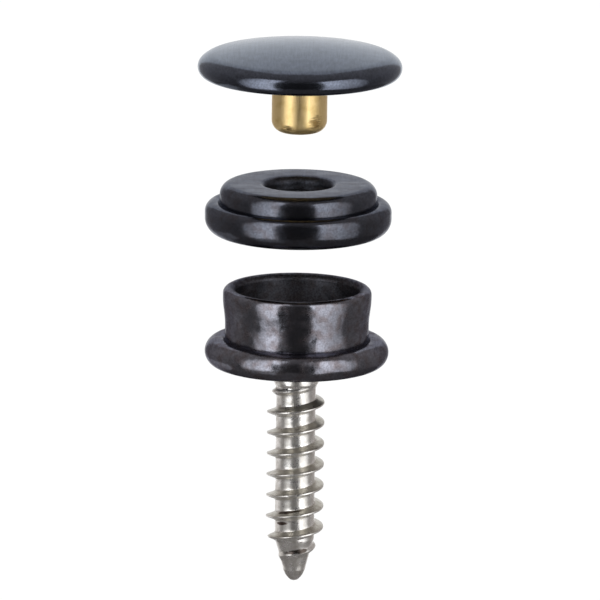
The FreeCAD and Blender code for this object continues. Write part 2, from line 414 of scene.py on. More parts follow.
# %% One pitch of the thread, screwed up the shank
THREAD_RADIUS = 2.13
CORE_RADIUS = 1.46
THREAD_PITCH = 1.58
RIDGE_FOOT = 0.33
RIDGE_CREST = 0.06
RIDGE_FILLET = 0.14
CREST_ROUND = 0.045
CREST_ON_MINUS_X = -3.57
THREAD_STEPS = 96


def thread_surface():
    """An even thread, longer than the screw at both ends, as one open sheet."""
    lowest = CREST_ON_MINUS_X - THREAD_PITCH / 2
    while lowest > screw_low.z - THREAD_PITCH:
        lowest -= THREAD_PITCH
    turns = math.ceil((screw_high.z - lowest) / THREAD_PITCH) + 1
    outline = [
        Vector((CORE_RADIUS, 0, lowest - THREAD_PITCH / 2)),
        Vector((CORE_RADIUS, 0, lowest - RIDGE_FOOT)),
        Vector((THREAD_RADIUS, 0, lowest - RIDGE_CREST)),
        Vector((THREAD_RADIUS, 0, lowest + RIDGE_CREST)),
        Vector((CORE_RADIUS, 0, lowest + RIDGE_FOOT)),
        Vector((CORE_RADIUS, 0, lowest + THREAD_PITCH / 2)),
    ]
    piece = single_point("wood_screw", outline[0].x, outline[0].z)
    bpy.context.tool_settings.mesh_select_mode = (True, False, False)
    extrude_to(outline)
    flank_turn = (outline[1] - outline[0]).angle(outline[2] - outline[1])
    for corner in outline[1], outline[4]:
        round_corner(piece, corner, flank_turn, RIDGE_FILLET)
    for corner in outline[2], outline[3]:
        round_corner(piece, corner, flank_turn, CREST_ROUND)
    bpy.ops.mesh.select_all(action="SELECT")
    bpy.ops.mesh.subdivide(number_cuts=1)
    bpy.ops.object.mode_set(mode="OBJECT")
    apply_modifier(
        piece,
        "SCREW",
        angle=2 * math.pi,
        screw_offset=THREAD_PITCH,
        iterations=turns,
        steps=THREAD_STEPS,
        render_steps=THREAD_STEPS,
        use_merge_vertices=True,
        merge_threshold=MERGE_DISTANCE,
    )
    return piece


screw = thread_surface()
print("thread vertices:", len(screw.data.vertices))

# %% [markdown]
# The two outlines are short tables of height and radius, joined by straight lines. The core runs
# from the round shank down the point to its blunt end. The crest leaves the shank over a turn,
# and sinks back into the point over nearly two.
#
# The mesh has no vertices of its own at the heights where an outline turns, so Bisect first cuts
# a level ring there. At the tip it also clears what hangs below, and as both outlines reach the
# axis there, the cut ring closes to a point.

# %% Outlines of the core and of the crest
SHANK_RADIUS = 1.65
SHANK_LENGTH = 1.3
SHANK_TAPER = 0.4
POINT_LENGTH = 3.25
TIP_LENGTH = 1.2
TIP_BASE_RADIUS = 0.88
TIP_END_RADIUS = 0.3
TIP_END_HEIGHT = 0.1
TIP_BULGE = 0.125
TIP_SHARES = (0.0, 0.15, 0.3, 0.5, 0.75, 1.0)
THREAD_RISE = 1.5
THREAD_FALL = 2.7
THREAD_END = 0.95
THREAD_SINK = 0.2

tip = screw_low.z


def tip_outline():
    """The blunt end's outline, bulging from its flat nose to the foot of the point."""
    nose = Vector((TIP_END_RADIUS, tip + TIP_END_HEIGHT))
    foot = Vector((TIP_BASE_RADIUS, tip + TIP_LENGTH))
    outward = Vector(((foot - nose).y, -(foot - nose).x)).normalized()
    rows = [(tip, 0.0)]
    for share in TIP_SHARES:
        point = nose.lerp(foot, share) + outward * TIP_BULGE * 4 * share * (1 - share)
        rows.append((point.y, point.x))
    return rows


core_outline = tip_outline() + [
    (tip + POINT_LENGTH, CORE_RADIUS),
    (-SHANK_LENGTH - SHANK_TAPER, CORE_RADIUS),
    (-SHANK_LENGTH, SHANK_RADIUS),
]
crest_outline = [
    (tip, 0.0),
    (tip + THREAD_END, TIP_BASE_RADIUS - THREAD_SINK),
    (tip + THREAD_END + THREAD_FALL, THREAD_RADIUS),
    (-SHANK_LENGTH - THREAD_RISE, THREAD_RADIUS),
    (-SHANK_LENGTH, SHANK_RADIUS - THREAD_SINK),
]


def outline_radius(outline, height):
    """The radius of an outline at this height, on straight lines between its points."""
    if height <= outline[0][0]:
        return outline[0][1]
    for (low, low_radius), (high, high_radius) in zip(outline, outline[1:]):
        if height <= high:
            share = (height - low) / (high - low)
            return low_radius + (high_radius - low_radius) * share
    return outline[-1][1]


def cut_level(height, **sides):
    """Cut the mesh in edit mode level at this height, and leave the new ring selected."""
    bpy.ops.mesh.select_all(action="SELECT")
    bpy.ops.mesh.bisect(plane_co=(0, 0, height), plane_no=(0, 0, 1), use_fill=False, **sides)


def shape_thread(piece):
    """Move each vertex between the core's outline and the crest's, by how proud it stood."""
    only(piece)
    bpy.ops.object.mode_set(mode="EDIT")
    cut_level(tip, clear_inner=True)
    for height, radius in core_outline[1:] + crest_outline[1:]:
        cut_level(height)
    bpy.ops.object.mode_set(mode="OBJECT")
    for vertex in piece.data.vertices:
        flat = Vector((vertex.co.x, vertex.co.y, 0))
        proud = (flat.length - CORE_RADIUS) / (THREAD_RADIUS - CORE_RADIUS)
        core = outline_radius(core_outline, vertex.co.z)
        crest = max(core, outline_radius(crest_outline, vertex.co.z))
        flat = flat.normalized() * (core + (crest - core) * proud)
        vertex.co = Vector((flat.x, flat.y, vertex.co.z))


shape_thread(screw)
print("thread shaped in", len(screw.data.polygons), "faces")

# %% [markdown]
# The head is pulled out of the shank's own end. The thread's surplus is cut off with Bisect at
# the head's underside, which leaves the cut ring selected, and then that ring is extruded and
# scaled again and again: out along the underside, up the side, over the corner, in to the
# middle. What started as a ring ends as one closed skin.

# %% The pan head
HEAD_UNDERSIDE = STUD_SHEET
HEAD_HEIGHT = 2.3
HEAD_RADIUS = 4.07
HEAD_CROWN = 0.35
HEAD_CORNER = 0.9
HEAD_UNDERCUT = 0.12
CORNER_STEPS = 8
CROWN_STEPS = 5
LAST_RING = 0.001

head_top = HEAD_UNDERSIDE + HEAD_HEIGHT


def pull_ring(ring, radius, height):
    """Extrude the selected ring to a new radius and height, and say where it is now."""
    bpy.ops.mesh.extrude_edges_move(TRANSFORM_OT_translate={"value": (0, 0, height - ring[1])})
    share = radius / ring[0]
    bpy.ops.transform.resize(value=(share, share, 1), center_override=(0, 0, height))
    return radius, height


def head_rings():
    """Radius and height of each ring of the head, from its underside to its middle."""
    corner_height = head_top - HEAD_CROWN
    corner_centre = (HEAD_RADIUS - HEAD_CORNER, corner_height - HEAD_CORNER)
    rings = [
        (HEAD_RADIUS - HEAD_UNDERCUT, HEAD_UNDERSIDE),
        (HEAD_RADIUS, HEAD_UNDERSIDE + HEAD_UNDERCUT),
    ]
    for i in range(CORNER_STEPS + 1):
        angle = math.pi / 2 * i / CORNER_STEPS
        radius = corner_centre[0] + HEAD_CORNER * math.cos(angle)
        rings.append((radius, corner_centre[1] + HEAD_CORNER * math.sin(angle)))
    for i in range(1, CROWN_STEPS + 1):
        share = 1 - i / CROWN_STEPS
        radius = max(corner_centre[0] * share, LAST_RING)
        rings.append((radius, head_top - HEAD_CROWN * share * share))
    return rings


def pull_head(piece):
    """Cut the thread off under the head, and grow the head from the cut ring."""
    only(piece)
    bpy.ops.object.mode_set(mode="EDIT")
    bpy.context.tool_settings.mesh_select_mode = (False, True, False)
    cut_level(HEAD_UNDERSIDE, clear_outer=True)
    ring = (SHANK_RADIUS, HEAD_UNDERSIDE)
    for radius, height in head_rings():
        ring = pull_ring(ring, radius, height)
    bpy.ops.mesh.select_all(action="SELECT")
    bpy.ops.mesh.remove_doubles(threshold=MERGE_DISTANCE)
    bpy.ops.mesh.dissolve_degenerate(threshold=MERGE_DISTANCE)
    bpy.ops.mesh.select_all(action="SELECT")
    bpy.ops.mesh.normals_make_consistent(inside=False)
    bpy.ops.object.mode_set(mode="OBJECT")


pull_head(screw)
print("head pulled through", len(head_rings()), "rings")

# %% [markdown]
# The cross recess is cut last, as the header's punch does it: two crossed bars, kept inside a
# blunt cone, are taken out of the head with Boolean modifiers.

# %% The cross recess
RECESS_DEPTH = 1.35
RECESS_RADIUS = 2.1
RECESS_TIP_RADIUS = 0.55
RECESS_WING = 0.95
RECESS_SIDES = 64


def recess_bar(turn):
    """One bar of the cross, longer and taller than the cone that will trim it."""
    middle = head_top - RECESS_DEPTH / 2
    bpy.ops.object.select_all(action="DESELECT")
    bpy.ops.mesh.primitive_cube_add(size=1, location=(0, 0, middle), rotation=(0, 0, turn))
    bar = bpy.context.object
    bar.scale = (3 * RECESS_RADIUS, RECESS_WING, RECESS_DEPTH * 1.2)
    bpy.ops.object.transform_apply(location=True, rotation=True, scale=True)
    return bar


def cut_with(piece, cutter, operation):
    """Join, trim or cut a piece with another, and clear the other away."""
    apply_modifier(piece, "BOOLEAN", object=cutter, operation=operation, solver="EXACT")
    bpy.data.objects.remove(cutter)


def cut_recess(piece):
    """Build the punch upside down in the head, and take it out."""
    bpy.ops.object.select_all(action="DESELECT")
    bpy.ops.mesh.primitive_cone_add(
        vertices=RECESS_SIDES,
        radius1=RECESS_TIP_RADIUS,
        radius2=RECESS_RADIUS,
        depth=RECESS_DEPTH,
        location=(0, 0, head_top - RECESS_DEPTH / 2),
    )
    punch = bpy.context.object
    cross = recess_bar(0)
    cut_with(cross, recess_bar(math.pi / 2), "UNION")
    cut_with(punch, cross, "INTERSECT")
    cut_with(piece, punch, "DIFFERENCE")


cut_recess(screw)
to_size(screw)

# %% [markdown]
# ## Where each piece rides
#
# A dressed piece rides on a body of the frame and takes the place of that body's CAD solid. Each
# row also lists the slot of the part's finish. The ring and the retainer hide in the socket, and
# keep the solids they have.

# %% Riding and replacing
DRESSED = [
    (stud, "stud", "stud_shell", "black_brass"),
    (screw, "stud", "screw", "stainless_steel"),
    (socket, "socket", "socket_shell", "black_brass"),
    (cap, "cap", "cap_shell", "black_brass"),
    (post, "cap", "cap_post", "plain_brass"),
]
for piece, body, node, slot in DRESSED:
    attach(piece, body)
    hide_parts(node)
print("dressed pieces:", [piece.name for piece, body, node, slot in DRESSED])

# %% [markdown]
# ## Helpers for the finishes
#
# Shaders work in linear light, while the colours given here are sRGB values, so one function
# turns one into the other. Another adds a node: its settings are properties, and its inputs are
# numbers, or the nodes or sockets they are linked to. A node such as Mix has inputs and an output
# of its own for each kind of value, and only one output is in use at a time. Its inputs go by
# number: two colours are 6 and 7, two numbers are 2 and 3.

# %% Colour and node helpers
def linear(colour):
    """An sRGB hex colour as the linear RGBA that a shader works in."""
    channels = [int(colour[i : i + 2], 16) / 255 for i in (0, 2, 4)]
    light = [c / 12.92 if c <= 0.04045 else ((c + 0.055) / 1.055) ** 2.4 for c in channels]
    return (*light, 1.0)


def add_node(tree, kind, inputs=None, **settings):
    """Add a node to a tree. An input that is a node is linked to the output it has in use."""
    node = tree.nodes.new(kind)
    for name, value in settings.items():
        setattr(node, name, value)
    for name, value in (inputs or {}).items():
        if isinstance(value, bpy.types.Node):
            value = next(output for output in value.outputs if output.enabled)
        if isinstance(value, bpy.types.NodeSocket):
            tree.links.new(value, node.inputs[name])
        else:
            node.inputs[name].default_value = value
    return node


def new_material(name):
    """A new material and its tree, which is still empty."""
    material = bpy.data.materials.new(name)
    material.use_nodes = True
    material.node_tree.nodes.clear()
    return material, material.node_tree


def grain(size):
    """The scale of a noise texture whose spots are about this many millimetres across."""
    return 1 / (size * MM)


def wear(piece, material):
    """Let a piece wear this material and no other."""
    piece.data.materials.clear()
    piece.data.materials.append(material)


# Nearly all that a noise gives lies between these two values
NOISE_SPAN = {"From Min": 0.3, "From Max": 0.7}
print("mid grey in linear light:", [round(c, 3) for c in linear("808080")])

# %% [markdown]
# ## Black nickel
#
# The black parts are brass, barrel-plated with black nickel: a thin dark metal coat that mirrors
# a tenth to a fifth of what it faces, but far more at a grazing angle. That is why the cap's
# crown looks grey and its edge black. A flat dark colour would look like plastic here, so the
# shader is a pure metal with a dark colour, and on the socket and the stud a grey edge tint
# holds the grazing angle down.
#
# Pressing and tumbling leave the surface softly waved and dimpled, which frays the edges of each
# highlight, and the plating is browner where it is thin. The waves, the dimples and the grain
# are three noises of their own sizes, and each bumps the normal of the one before it. The cap is
# pressed once and is the smoothest; the stud is folded four times and is the roughest.
#
# Tumbling polishes only what it reaches, so the stud's well and the socket's hole stay dull. Their
# colour is also painted darker, as painted shade in these recesses, so the distance from the axis
# dulls the finish there and darkens its colour.

# %% The plating's patterns
# Sizes and depths of every pattern are in millimetres
PLATING_WAVE = 1.9
PLATING_DIMPLE = 0.7
# The real grain and drawing lines are about 0.02 mm, too fine to show, so these are coarser
PLATING_GRAIN = 0.15
DRAWN_LINE = 0.13
DRAWN_LENGTH = 4.0
DULL_AND_SHADED_EDGE = 0.35


def plating_noises(tree, place, seed):
    """Waves, dimples, grain and the faint lines that rolling left across the sheet."""
    shifted = add_node(tree, "ShaderNodeMapping", {"Vector": place, "Location": (seed * MM, 0, 0)})
    stretched = add_node(
        tree,
        "ShaderNodeMapping",
        {"Vector": shifted, "Scale": (1.0, DRAWN_LINE / DRAWN_LENGTH, 1.0)},
    )
    noises = [
        (shifted, PLATING_WAVE, 1.0),
        (shifted, PLATING_DIMPLE, 1.5),
        (shifted, PLATING_GRAIN, 2.0),
        (stretched, DRAWN_LINE, 2.0),
    ]
    return [
        add_node(
            tree, "ShaderNodeTexNoise", {"Vector": where, "Scale": grain(size), "Detail": detail}
        )
        for where, size, detail in noises
    ]


def near_axis(tree, place, reach):
    """1 near the axis, where tumbling didn't reach and painted shade darkens the colour, and 0 from
    this distance outwards.
    """
    flat = add_node(tree, "ShaderNodeVectorMath", {0: place, 1: (1, 1, 0)}, operation="MULTIPLY")
    radius = add_node(tree, "ShaderNodeVectorMath", {0: flat}, operation="LENGTH")
    return add_node(
        tree,
        "ShaderNodeMapRange",
        {
            "Value": radius,
            "From Min": (reach - DULL_AND_SHADED_EDGE) * MM,
            "From Max": reach * MM,
            "To Min": 1.0,
            "To Max": 0.0,
        },
    )


print("plating noises of", PLATING_WAVE, PLATING_DIMPLE, PLATING_GRAIN, DRAWN_LINE, "mm")

# %% Black nickel
THIN_SPAN = {"From Min": 0.42, "From Max": 0.68}
THIN_BROWN = 0.7
LINE_SHADES = {"To Min": 0.8, "To Max": 1.2}
# How dark the painted shade makes the colour in the stud's well and the socket's hole
RECESS_PAINTED_SHADE = 0.5
DULL_EXTRA = 0.26
GRAIN_DEPTH = 0.0012


def black_nickel(name, mirror, brown, edge, roughness, patchy, waves, dimples, seed, dull):
    """Barrel-plated black nickel: a dark satin metal, softly dimpled and a little brown."""
    material, tree = new_material(name)
    place = add_node(tree, "ShaderNodeTexCoord").outputs["Object"]
    wave, dimple, fine, lines = plating_noises(tree, place, seed)
    inside = near_axis(tree, place, dull)
    thin = add_node(
        tree, "ShaderNodeMapRange", {"Value": dimple, **THIN_SPAN, "To Max": THIN_BROWN}
    )
    plated = add_node(
        tree,
        "ShaderNodeMix",
        {"Factor": thin, 6: linear(mirror), 7: linear(brown)},
        data_type="RGBA",
    )
    lined = add_node(tree, "ShaderNodeMapRange", {"Value": lines, **NOISE_SPAN, **LINE_SHADES})
    patches = {"To Min": roughness * (1 - patchy), "To Max": roughness * (1 + patchy)}
    satin = add_node(tree, "ShaderNodeMapRange", {"Value": dimple, **NOISE_SPAN, **patches})
    # Near the axis the colour takes painted shade and the roughness grows; elsewhere the drawn
    # lines vary the tone
    shade, gloss = [
        add_node(
            tree, "ShaderNodeMath", {0: inside, 1: extra, 2: outside}, operation="MULTIPLY_ADD"
        )
        for extra, outside in ((RECESS_PAINTED_SHADE - 1, lined), (DULL_EXTRA, satin))
    ]
    colour = add_node(tree, "ShaderNodeVectorMath", {0: plated, "Scale": shade}, operation="SCALE")
    # Each bump starts from the normal that the one before it made
    relief = {}
    for height, depth in (wave, waves), (dimple, dimples), (fine, GRAIN_DEPTH):
        bump = add_node(
            tree, "ShaderNodeBump", {"Height": height, "Distance": depth * MM, **relief}
        )
        relief = {"Normal": bump}
    shader = add_node(
        tree,
        "ShaderNodeBsdfPrincipled",
        {
            "Base Color": colour,
            "Metallic": 1.0,
            "Roughness": gloss,
            "Specular Tint": linear(edge),
            **relief,
        },
    )
    add_node(tree, "ShaderNodeOutputMaterial", {"Surface": shader})
    return material


# Piece, name, mirror colour, thin plating, edge tint, roughness, patchiness, depths of the waves
# and the dimples, shift of the pattern, and the radius inside which it is dull and painted
# darker, in millimetres
# The three pieces wear one plating, yet their mirror colours and edge tints differ: the stud's
# mirror colour is lighter and the socket's darker, and the stud's and the socket's edge tints are
# grey. These differences are painted light and shade that set each piece's highlights.
PLATED = [
    (cap, "black_nickel_cap", "565b67", "4f535d", "f4f9ff", 0.17, 0.08, 0.01, 0.002, 0, 0),
    (socket, "black_nickel_socket", "53565f", "4a484d", "ccced4", 0.21, 0.15, 0.06, 0.012, 40, 2.8),
    (stud, "black_nickel_stud", "787982", "645c5e", "b0b0b6", 0.22, 0.28, 0.12, 0.022, 80, 5.2),
]
for piece, *finish in PLATED:
    wear(piece, black_nickel(*finish))
print("plated:", cap.name, socket.name, stud.name)

# %% [markdown]
# ## Bare brass and bronze
#
# The post is brass, bare of plating. Drawing it through a die left fine marks along it, so its
# noise is stretched along the axis, and it has tarnished a little in patches. Tools have
# scratched the post round its end in two places: a ball of distance round each limits a noise
# that is stretched level. The retainer is stamped from the same strip and the ring is springy
# phosphor bronze wire, a little redder. Both keep their CAD meshes, so only their material
# slots change.

# %% Scratches in two places
SCUFF_SIZE = 0.1
SCUFF_STRETCH = 0.16
SCUFF_DEPTH = 0.03
SCUFF_COLOUR = "6d5228"
SCUFF_MASK = {"From Min": 0.2, "From Max": 0.42, "To Max": 0.8}
SCUFFS = [((1.2, -1.6, 18.6), (1.1, 1.0, 1.1)), ((-0.8, -1.8, 18.2), (0.9, 0.8, 0.45))]


def mark_at(tree, place, noise, middle, reach, tilt, mask):
    """How strong a mark is: a ball of distance round its middle, broken up by a noise."""
    near = add_node(
        tree,
        "ShaderNodeMapping",
        {
            "Vector": place,
            "Location": [x * MM for x in middle],
            "Rotation": (0, tilt, 0),
            "Scale": [x * MM for x in reach],
        },
        vector_type="TEXTURE",
    )
    region = add_node(
        tree, "ShaderNodeTexGradient", {"Vector": near}, gradient_type="SPHERICAL"
    ).outputs["Fac"]
    depth = add_node(tree, "ShaderNodeMath", {0: region, 1: noise}, operation="MULTIPLY")
    return add_node(tree, "ShaderNodeMapRange", {"Value": depth, **mask})


def scratched(tree, place, colour, normal):
    """A colour and a normal with the post's dark scratches, which are stretched level."""
    level = add_node(
        tree, "ShaderNodeMapping", {"Vector": place, "Scale": (SCUFF_STRETCH, SCUFF_STRETCH, 1.0)}
    )
    strokes = add_node(
        tree,
        "ShaderNodeTexNoise",
        {"Vector": level, "Scale": grain(SCUFF_SIZE), "Detail": 3.0, "Distortion": 0.5},
    )
    for middle, reach in SCUFFS:
        scuff = mark_at(tree, place, strokes, middle, reach, 0, SCUFF_MASK)
        colour = add_node(
            tree,
            "ShaderNodeMix",
            {"Factor": scuff, 6: colour, 7: linear(SCUFF_COLOUR)},
            data_type="RGBA",
        )
        normal = add_node(
            tree,
            "ShaderNodeBump",
            {"Height": scuff, "Distance": SCUFF_DEPTH * MM, "Normal": normal},
            invert=True,
        )
    return colour, normal


print("scratched round", [middle for middle, reach in SCUFFS])

# %% Drawn brass and bronze
# The real die marks are about 0.02 mm apart, so these are drawn coarser, to show at all
BRASS_MARK = 0.11
BRASS_MARK_LENGTH = 2.6
BRASS_MARK_DEPTH = 0.0012
BRASS_GLOSS = {"To Min": 0.32, "To Max": 0.46}
BRASS_TARNISH = 0.7
TARNISH_MASK = {"From Min": 0.45, "From Max": 0.75, "To Max": 0.55}


def drawn_alloy(name, bright, dull, scuffed):
    """Bare drawn brass or bronze: warm and satin, lined along the draw, scratched if asked."""
    material, tree = new_material(name)
    place = add_node(tree, "ShaderNodeTexCoord").outputs["Object"]
    along = add_node(
        tree,
        "ShaderNodeMapping",
        {"Vector": place, "Scale": (1.0, 1.0, BRASS_MARK / BRASS_MARK_LENGTH)},
    )
    marks, cloud = [
        add_node(
            tree, "ShaderNodeTexNoise", {"Vector": where, "Scale": grain(size), "Detail": detail}
        )
        for where, size, detail in ((along, BRASS_MARK, 2.0), (place, BRASS_TARNISH, 3.0))
    ]
    tarnish = add_node(tree, "ShaderNodeMapRange", {"Value": cloud, **TARNISH_MASK})
    colour = add_node(
        tree,
        "ShaderNodeMix",
        {"Factor": tarnish, 6: linear(bright), 7: linear(dull)},
        data_type="RGBA",
    )
    gloss = add_node(tree, "ShaderNodeMapRange", {"Value": marks, **NOISE_SPAN, **BRASS_GLOSS})
    normal = add_node(tree, "ShaderNodeBump", {"Height": marks, "Distance": BRASS_MARK_DEPTH * MM})
    if scuffed:
        colour, normal = scratched(tree, place, colour, normal)
    shader = add_node(
        tree,
        "ShaderNodeBsdfPrincipled",
        {"Base Color": colour, "Metallic": 0.93, "Roughness": gloss, "Normal": normal},
    )
    add_node(tree, "ShaderNodeOutputMaterial", {"Surface": shader})
    return material


ring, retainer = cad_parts["spring_ring"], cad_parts["socket_retainer"]
wear(post, drawn_alloy("drawn_brass_scuffed", "e6cb92", "bd9c5b", True))
wear(retainer, drawn_alloy("drawn_brass", "e6cb92", "bd9c5b", False))
wear(ring, drawn_alloy("phosphor_bronze_wire", "dba67a", "a8744c", False))
print("bare:", post.name, retainer.name, ring.name)

# %% [markdown]
# ## Tumbled stainless steel
#
# The screw's thread was rolled, and then the screw was tumbled bright. Up close it is mottled,
# with small dents. Each turn's upper side is painted darker where its normal points up: painted
# shade along the thread, below the shank's plain part. Rinsing has also left two brown stains
# between the lower turns, and beside them a thin dark line along a crest's upper flank is
# painted shade. Each of the three is a soft ball of distance round a place on the thread,
# flattened along the helix, and its edge is broken up by the same mottling.

# %% The painted shade on the thread
# Colour and mask of the painted shade on each turn's upper side
THREAD_SHADE_COLOUR = "8c8573"
THREAD_SHADE_MASK = {"From Min": 0.4, "From Max": 0.85, "To Max": 0.6}


def painted_thread_shade(tree, place):
    """How strong the painted shade is: on what faces up, and only below the shank's plain part."""
    facing = add_node(tree, "ShaderNodeTexCoord").outputs["Normal"]
    upward, height = [
        add_node(tree, "ShaderNodeSeparateXYZ", {"Vector": vector}).outputs["Z"]
        for vector in (facing, place)
    ]
    ledge = add_node(tree, "ShaderNodeMapRange", {"Value": upward, **THREAD_SHADE_MASK})
    threaded = add_node(
        tree,
        "ShaderNodeMapRange",
        {"Value": height, "From Min": 0.0, "From Max": -SHANK_LENGTH * MM},
    )
    return add_node(tree, "ShaderNodeMath", {0: ledge, 1: threaded}, operation="MULTIPLY")


# The printed height is where the painted shade on the thread is full
print("the film is full from", SHANK_LENGTH, "mm down")

# %% Stainless steel with its stains
STEEL_MOTTLE = 0.5
MOTTLE_SPAN = {"From Min": 0.35, "From Max": 0.7}
MOTTLE_DEPTH = 0.014
STEEL_DENT = 0.2
DENT_DEPTH = 0.002
STEEL_BRIGHT = "f4f3f1"
STEEL_CLOUD = "cdc9c2"
STEEL_GLOSS = {"To Min": 0.23, "To Max": 0.38}
HELIX_TILT = math.radians(-9)
STAIN_AND_SHADE_MASK = {"From Min": 0.08, "From Max": 0.22, "To Max": 0.92}
# The first is painted shade, a thin dark line along a crest's upper flank; the other two are brown
# stains
STAINS_AND_SHADE_LINE = [
    ((-0.6, -1.65, -10.9), (1.6, 0.9, 0.1), "3a2c22"),
    ((-1.0, -1.1, -11.84), (0.7, 0.7, 0.18), "3c2418"),
    ((0.25, -1.2, -13.94), (1.5, 0.8, 0.24), "2a1a10"),
]


def tumbled_steel():
    """Tumbled stainless steel: bright and mottled, with painted shade on its turns, and brown
    stains and a painted shade line between the lower turns.
    """
    material, tree = new_material("tumbled_stainless_steel")
    place = add_node(tree, "ShaderNodeTexCoord").outputs["Object"]
    mottle = add_node(
        tree,
        "ShaderNodeTexNoise",
        {"Vector": place, "Scale": grain(STEEL_MOTTLE), "Detail": 4.0, "Roughness": 0.6},
    )
    dent = add_node(
        tree, "ShaderNodeTexNoise", {"Vector": place, "Scale": grain(STEEL_DENT), "Detail": 2.0}
    )
    cloudy = add_node(tree, "ShaderNodeMapRange", {"Value": mottle, **MOTTLE_SPAN})
    # The cloud is the steel's own tone; the second layer is the painted shade on the turns
    layers = [(cloudy, STEEL_CLOUD), (painted_thread_shade(tree, place), THREAD_SHADE_COLOUR)]
    # Two of these marks are brown stains, and the first is painted shade
    for middle, reach, brown in STAINS_AND_SHADE_LINE:
        dark_mark = mark_at(tree, place, mottle, middle, reach, HELIX_TILT, STAIN_AND_SHADE_MASK)
        layers.append((dark_mark, brown))
    colour = linear(STEEL_BRIGHT)
    for strength, tone in layers:
        colour = add_node(
            tree,
            "ShaderNodeMix",
            {"Factor": strength, 6: colour, 7: linear(tone)},
            data_type="RGBA",
        )
    gloss = add_node(tree, "ShaderNodeMapRange", {"Value": mottle, **NOISE_SPAN, **STEEL_GLOSS})
    relief = {}
    for height, depth in (mottle, MOTTLE_DEPTH), (dent, DENT_DEPTH):
        bump = add_node(
            tree, "ShaderNodeBump", {"Height": height, "Distance": depth * MM, **relief}
        )
        relief = {"Normal": bump}
    shader = add_node(
        tree,
        "ShaderNodeBsdfPrincipled",
        {"Base Color": colour, "Metallic": 0.95, "Roughness": gloss, **relief},
    )
    add_node(tree, "ShaderNodeOutputMaterial", {"Surface": shader})
    return material


wear(screw, tumbled_steel())
print("steel:", screw.name)

# %% [markdown]
# ## White all round
#
# The parts hang in front of pure white. The world is white for the rays that see a background,
# and gives the parts no other light. A sheet of white paper lies below them. It takes the faint
# shadow of real light, and for the same rays most of it glows at a strength of 1, so that it
# meets the world with hardly a line.

# %% The floor
FLOOR_DROP = 160
FLOOR_SIZE = 4000
PAPER_GLOW = 0.8


def only_background(tree):
    """1 for the rays that see a background: the camera's, mirrored ones and refracted ones."""
    rays = add_node(tree, "ShaderNodeLightPath").outputs
    seen = rays["Is Camera Ray"]
    for kind in "Is Glossy Ray", "Is Transmission Ray":
        seen = add_node(tree, "ShaderNodeMath", {0: seen, 1: rays[kind]}, operation="MAXIMUM")
    return seen


def lay_floor():
    """A large sheet of white paper, well below the screw's tip."""
    bpy.ops.object.select_all(action="DESELECT")
    bpy.ops.mesh.primitive_plane_add(
        size=FLOOR_SIZE * MM, location=(0, 0, (screw_low.z - FLOOR_DROP) * MM)
    )
    floor = bpy.context.object
    floor.name = "floor"
    material, tree = new_material("white_paper")
    paper = add_node(tree, "ShaderNodeBsdfDiffuse", {"Color": linear("fafafa")})
    glow = add_node(tree, "ShaderNodeEmission", {"Strength": 1.0})
    share = add_node(
        tree, "ShaderNodeMath", {0: only_background(tree), 1: PAPER_GLOW}, operation="MULTIPLY"
    )
    surface = add_node(tree, "ShaderNodeMixShader", {0: share, 1: paper, 2: glow})
    add_node(tree, "ShaderNodeOutputMaterial", {"Surface": surface})
    wear(floor, material)
    return floor


floor = lay_floor()
print("floor at", round(floor.location.z / MM, 1), "mm")

# %% [markdown]
# ## The tent
#
# Black metal is only ever as black as what it mirrors, so a photographer hangs it in a tent of
# dark felt, open at the back. The opening draws the bright crown of the cap. The felt's brightness
# is painted light, an emission: it is nearly black in front, which keeps the middle of every wall
# black, and glows brighter further back and higher up, standing for light spilled there, which
# draws the outlines and the rims. It is here for reflections alone: the camera, the shadows and
# the diffuse light pass through it. A sphere is cut level for its floor, filled, and only then
# opened, because filling works on closed outlines.

# %% The felt
TENT_FLOOR = 140
TENT_FRONT = 0.05
TENT_SIDE = 0.42
TENT_FRONT_REACH = 190
TENT_BACK_REACH = 200
TENT_TILT = math.radians(22)
TENT_FLOOR_GLOW = 0.16
TENT_FLOOR_LAYER = 1


def tent_cloth():
    """Felt whose glow is painted light: nearly black in front, brighter towards the back and the
    top.
    """
    material, tree = new_material("dark_felt")
    place = add_node(tree, "ShaderNodeTexCoord").outputs["Object"]
    back_and_up = (0, math.cos(TENT_TILT), math.sin(TENT_TILT))
    behind = add_node(
        tree, "ShaderNodeVectorMath", {0: place, 1: back_and_up}, operation="DOT_PRODUCT"
    )
    # The glow is painted light, brighter towards the back and the top as if light spilled there
    wall = add_node(
        tree,
        "ShaderNodeMapRange",
        {
            "Value": behind,
            "From Min": -TENT_FRONT_REACH * MM,
            "From Max": TENT_BACK_REACH * MM,
            "To Min": TENT_FRONT,
            "To Max": TENT_SIDE,
        },
    )
    height = add_node(tree, "ShaderNodeSeparateXYZ", {"Vector": place}).outputs["Z"]
    below = add_node(
        tree,
        "ShaderNodeMath",
        {0: height, 1: (screw_low.z - TENT_FLOOR + TENT_FLOOR_LAYER) * MM},
        operation="LESS_THAN",
    )
    strength = add_node(
        tree, "ShaderNodeMix", {"Factor": below, 2: wall, 3: TENT_FLOOR_GLOW}, data_type="FLOAT"
    )
    cloth = add_node(tree, "ShaderNodeEmission", {"Color": linear("fff7f4"), "Strength": strength})
    add_node(tree, "ShaderNodeOutputMaterial", {"Surface": cloth})
    return material


print("felt glows", TENT_FRONT, "in front and", TENT_SIDE, "behind")

# %% The tent
TENT_RADIUS = 320
TENT_SEGMENTS = 72
OPENING_HALF_WIDTH = math.radians(26)
OPENING_HIGH = math.radians(68)


